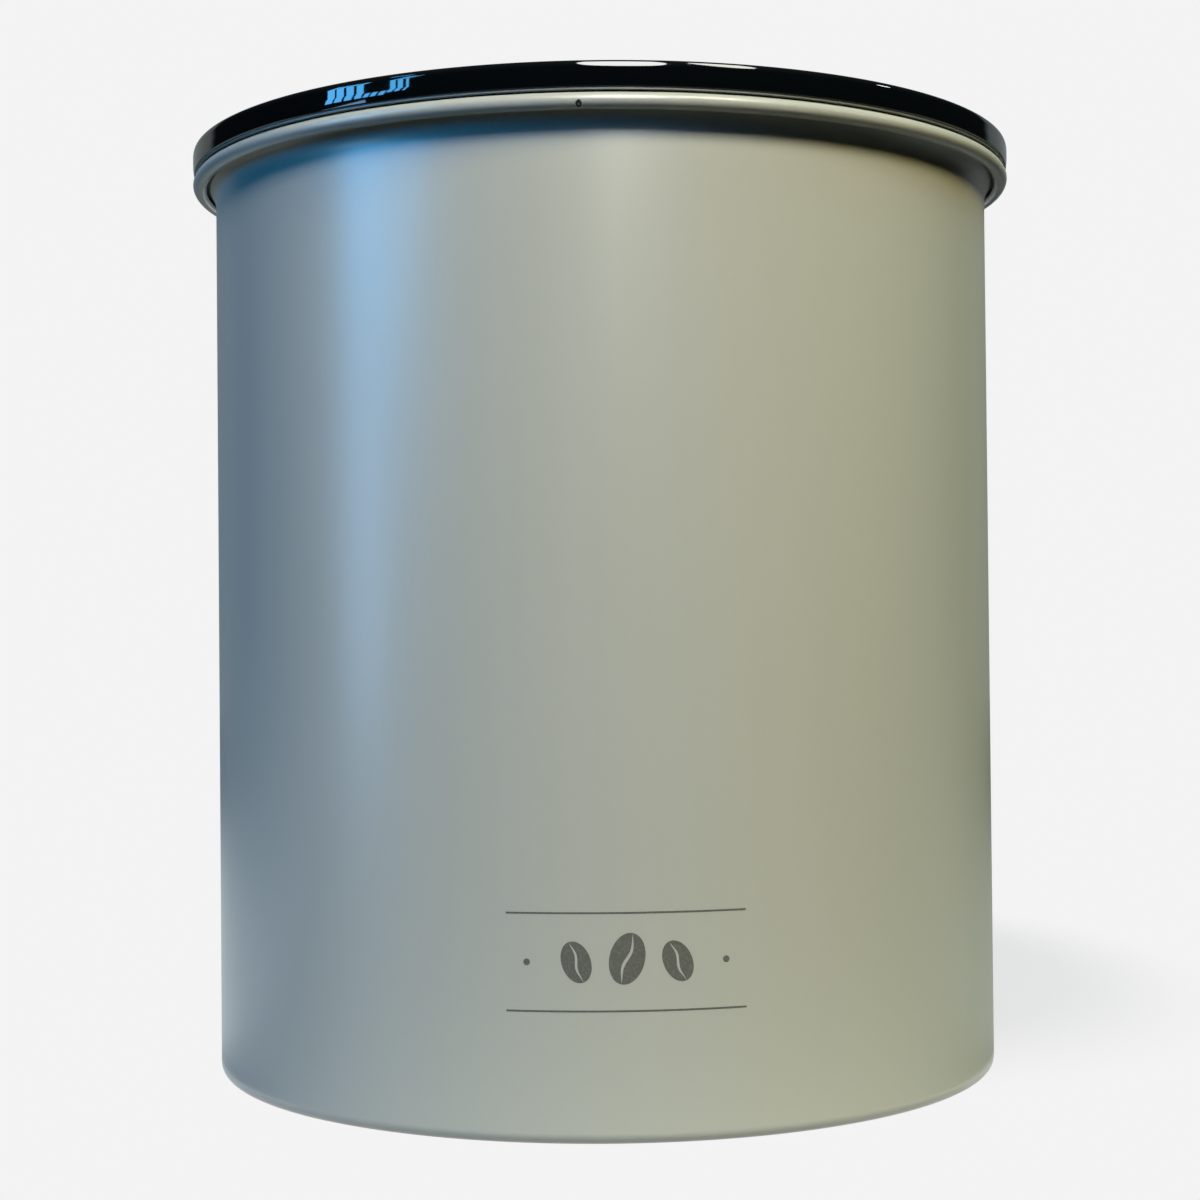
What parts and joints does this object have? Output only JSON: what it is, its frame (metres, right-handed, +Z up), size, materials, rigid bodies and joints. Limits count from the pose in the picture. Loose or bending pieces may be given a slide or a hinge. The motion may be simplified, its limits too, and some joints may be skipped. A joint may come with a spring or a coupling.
{
  "type": "coffee canister with valve",
  "caption": "Tall round steel canister with a curled rim, a push-in outer lid and an inner plunger lid whose folding handle opens a vent valve.",
  "frame": {"origin": "centre of the base, on the surface that the canister stands on", "axes": "+Z up along the can's axis; -Y is the front, towards which the plunger's handle lies folded; +X to the right"},
  "size_m": [0.183, 0.183, 0.2032],
  "materials": {
    "powder_coat": "satin powder coat, warm pale grey",
    "lid_plastic": "glossy black",
    "plunger_plastic": "fine moulded grain",
    "handle_plastic": "satin",
    "cam_plastic": "natural acetal",
    "seal": "soft silicone, dark grey",
    "flap_silicone": "soft silicone, milky",
    "steel": "stainless wire and rod"
  },
  "bodies": {
    "canister": {"canister_body": "powder_coat"},
    "outer_lid": {"outer_lid": "lid_plastic", "outer_lid_gasket": "seal"},
    "plunger": {"plunger_plate": "plunger_plastic", "plunger_gasket": "seal", "valve_cover": "plunger_plastic", "valve_guard": "plunger_plastic", "valve_spring": "steel"},
    "valve": {"valve_stem": "cam_plastic", "valve_flap": "flap_silicone", "stem_clip": "steel"},
    "handle": {"handle": "handle_plastic", "handle_axle": "steel", "valve_cam": "cam_plastic"}
  },
  "joints": [
    {"name": "outer_lid_lift", "type": "slide", "parent": "canister", "child": "outer_lid", "axis": [0, 0, 1], "range_m": [0, 0.12]},
    {"name": "plunger_slide", "type": "slide", "parent": "canister", "child": "plunger", "axis": [0, 0, 1], "range_m": [-0.1208, 0.006]},
    {"name": "handle_fold", "type": "hinge", "parent": "plunger", "child": "handle", "pos_m": [0, 0, 0.1448], "axis": [-1, 0, 0], "range_deg": [0, 90]},
    {"name": "valve_lift", "type": "slide", "parent": "plunger", "child": "valve", "axis": [0, 0, 1], "range_m": [0, 0.002], "deforming": ["valve_spring"]}
  ],
  "couplings": [
    {"joint": "valve_lift", "follows": "handle_fold", "m_per_rad": 0.0012732}
  ]
}
